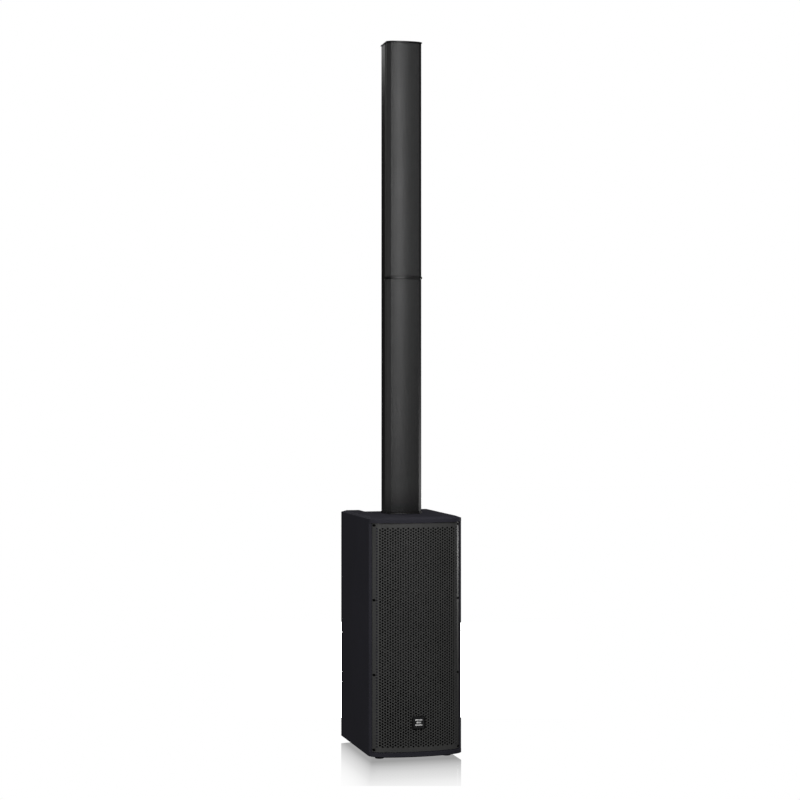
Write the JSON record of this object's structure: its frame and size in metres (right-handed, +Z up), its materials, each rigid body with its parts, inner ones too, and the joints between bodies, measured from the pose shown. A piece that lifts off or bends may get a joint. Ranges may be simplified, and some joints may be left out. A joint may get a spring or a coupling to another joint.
{
  "type": "column PA system",
  "caption": "Tall two-piece loudspeaker column plugged into a narrow bass cabinet with a bowed perforated grille, rubber feet and a rear control panel.",
  "frame": {"origin": "on the floor under the centre of the bass cabinet's bounding box", "axes": "+Z up, the front grille faces -Y, +X to the right as seen from the front"},
  "size_m": [0.2704, 0.384, 2.0347],
  "materials": {
    "cabinet_paint": "dark textured coating over plywood",
    "grille_steel": "powder coated perforated sheet",
    "foam": "open acoustic foam",
    "black_plastic": "fine matt moulding texture",
    "baffle_board": "black stained board",
    "panel_paint": "fine black coating",
    "heatsink": "as extruded",
    "foot_rubber": "matt",
    "black_screw": "black oxide",
    "zinc_screw": "zinc plated",
    "knob_plastic": "satin moulding",
    "speaker_frame": "satin black",
    "speaker_cone": "pressed pulp",
    "driver_board": "matt",
    "small_driver": "pressed pulp in a steel frame",
    "column_alloy": "black satin coating",
    "column_sheet": "grey satin coating"
  },
  "bodies": {
    "cabinet": {"amp_module": "heatsink", "amp_panel": "panel_paint", "badge_plate": "black_plastic", "bass_port": "black_plastic", "cabinet_shell": "cabinet_paint", "column_socket": "black_plastic", "combo_input_1": "black_plastic", "combo_input_2": "black_plastic", "foot_front_left": "foot_rubber", "foot_front_right": "foot_rubber", "foot_rear_left": "foot_rubber", "foot_rear_right": "foot_rubber", "front_baffle": "baffle_board", "front_grille": "grille_steel", "grille_foam": "foam", "grille_screw_left_1": "black_screw", "grille_screw_left_2": "black_screw", "grille_screw_left_3": "black_screw", "grille_screw_left_4": "black_screw", "grille_screw_right_1": "black_screw", "grille_screw_right_2": "black_screw", "grille_screw_right_3": "black_screw", "grille_screw_right_4": "black_screw", "line_output": "black_plastic", "mains_inlet": "black_plastic", "panel_screw_lower_left": "zinc_screw", "panel_screw_lower_right": "zinc_screw", "panel_screw_upper_left": "zinc_screw", "panel_screw_upper_right": "zinc_screw", "woofer_lower_basket": "speaker_frame", "woofer_lower_cone": "speaker_cone", "woofer_upper_basket": "speaker_frame", "woofer_upper_cone": "speaker_cone"},
    "lower_column": {"lower_column_body": "column_alloy", "lower_column_foot": "black_plastic", "lower_column_grille": "column_sheet", "lower_column_joint_plate": "black_plastic", "lower_driver_1": "small_driver", "lower_driver_2": "small_driver", "lower_driver_3": "small_driver", "lower_driver_4": "small_driver", "lower_driver_5": "small_driver", "lower_driver_board": "driver_board"},
    "upper_column": {"upper_column_body": "column_alloy", "upper_column_grille": "column_sheet", "upper_column_joint_plate": "black_plastic", "upper_driver_1": "small_driver", "upper_driver_2": "small_driver", "upper_driver_4": "small_driver", "upper_driver_5": "small_driver", "upper_driver_board": "driver_board", "upper_tweeter": "small_driver", "column_top_cap": "black_plastic"},
    "knob_input_1": {"knob_input_1": "knob_plastic"},
    "knob_input_2": {"knob_input_2": "knob_plastic"},
    "knob_sub_level": {"knob_sub_level": "knob_plastic"},
    "button_mode": {"button_mode": "knob_plastic"},
    "button_ground_lift": {"button_ground_lift": "knob_plastic"},
    "power_rocker": {"power_rocker": "black_plastic"}
  },
  "joints": [
    {"name": "lower_column_lift", "type": "slide", "parent": "cabinet", "child": "lower_column", "axis": [0, 0, 1], "range_m": [0, 0.09]},
    {"name": "upper_column_lift", "type": "slide", "parent": "lower_column", "child": "upper_column", "axis": [0, 0, 1], "range_m": [0, 0.06]},
    {"name": "knob_input_1_turn", "type": "hinge", "parent": "cabinet", "child": "knob_input_1", "pos_m": [-0.042, 0.171, 0.262], "axis": [0, 1, 0], "range_deg": [-150, 150]},
    {"name": "knob_input_2_turn", "type": "hinge", "parent": "cabinet", "child": "knob_input_2", "pos_m": [0, 0.171, 0.262], "axis": [0, 1, 0], "range_deg": [-150, 150]},
    {"name": "knob_sub_level_turn", "type": "hinge", "parent": "cabinet", "child": "knob_sub_level", "pos_m": [0.042, 0.171, 0.262], "axis": [0, 1, 0], "range_deg": [-150, 150]},
    {"name": "button_mode_press", "type": "slide", "parent": "cabinet", "child": "button_mode", "axis": [0, -1, 0], "range_m": [0, 0.0025], "stiffness_N_per_m": 200, "springref_m": -0.002},
    {"name": "button_ground_lift_press", "type": "slide", "parent": "cabinet", "child": "button_ground_lift", "axis": [0, -1, 0], "range_m": [0, 0.0025], "stiffness_N_per_m": 200, "springref_m": -0.002},
    {"name": "power_rocker_tip", "type": "hinge", "parent": "cabinet", "child": "power_rocker", "pos_m": [-0.034, 0.171, 0.151], "axis": [0, 0, 1], "range_deg": [-14, 0]}
  ]
}
